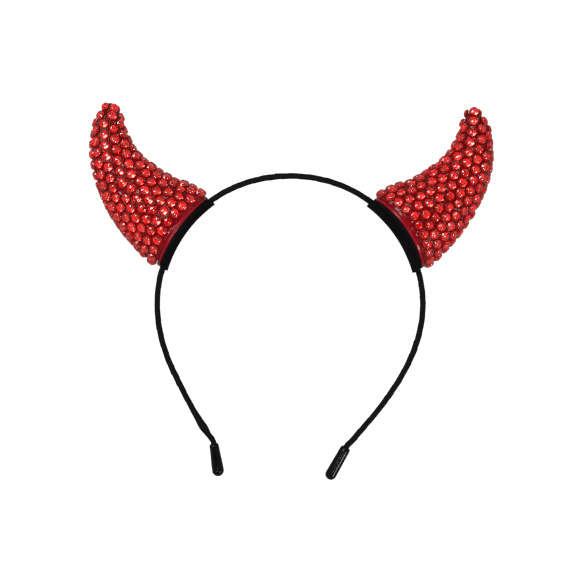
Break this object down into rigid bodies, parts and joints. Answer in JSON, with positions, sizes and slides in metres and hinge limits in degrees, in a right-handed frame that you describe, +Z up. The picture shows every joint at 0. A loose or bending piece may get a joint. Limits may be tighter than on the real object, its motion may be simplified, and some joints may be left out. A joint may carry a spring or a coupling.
{
  "type": "devil horns headband",
  "caption": "Slim ribbon wrapped headband that carries two curved red horns covered in round cut stones.",
  "frame": {"origin": "centre of the bounding box in X and Y, on the surface that it rests on", "axes": "+X across the headband to the right horn as the picture shows it, +Y towards the crown and the horn tips, +Z up, away from the table that its back lies on"},
  "size_m": [0.1978, 0.1822, 0.0483],
  "materials": {
    "black_ribbon": "satin ribbon, wound edge over edge",
    "black_soft_plastic": "glossy dipped end",
    "black_felt": "matt pressed felt",
    "red_gloss_base": "smooth gloss",
    "red_cut_stone": "faceted clear red stones over a glossy dark red form"
  },
  "bodies": {
    "root": {"wrapped_band": "black_ribbon", "left_end_cap": "black_soft_plastic", "right_end_cap": "black_soft_plastic", "left_felt_pad": "black_felt", "right_felt_pad": "black_felt", "left_horn_rim": "red_gloss_base", "right_horn_rim": "red_gloss_base", "left_horn": "red_cut_stone", "right_horn": "red_cut_stone"}
  },
  "joints": []
}
